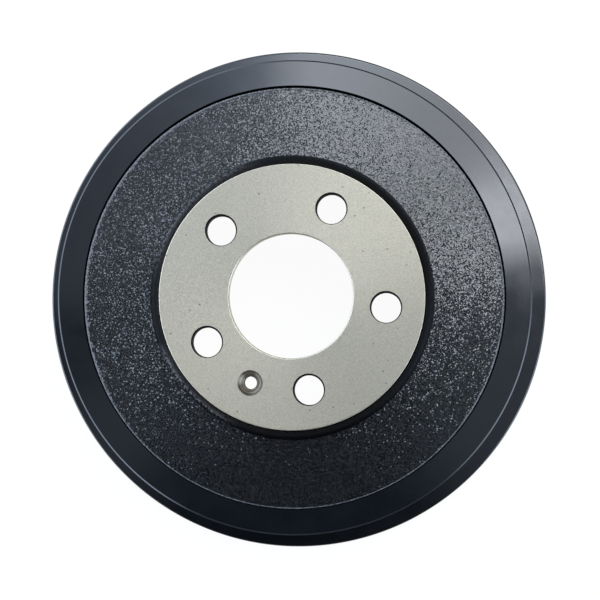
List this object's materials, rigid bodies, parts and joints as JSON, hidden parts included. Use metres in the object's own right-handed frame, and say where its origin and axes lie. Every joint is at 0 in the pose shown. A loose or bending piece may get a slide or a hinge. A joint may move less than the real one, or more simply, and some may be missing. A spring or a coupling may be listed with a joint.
{
  "type": "brake drum",
  "caption": "Cast-iron brake drum with a raised drilled hub face and centre bore, a sloping cast web, a friction ring inside and a grooved flange round its open edge.",
  "frame": {"origin": "on the wheel axis, in the plane of the open edge that the drum rests on", "axes": "+Z along the wheel axis from the open edge towards the hub face; the retaining screw's hole on -Y and a stud hole on +Y"},
  "size_m": [0.27, 0.27, 0.066],
  "materials": {
    "drum_iron": "black satin coating over cast iron, with the hub face, hub seat, bores and friction surface bare and turned"
  },
  "bodies": {
    "root": {"brake_drum": "drum_iron"}
  },
  "joints": []
}
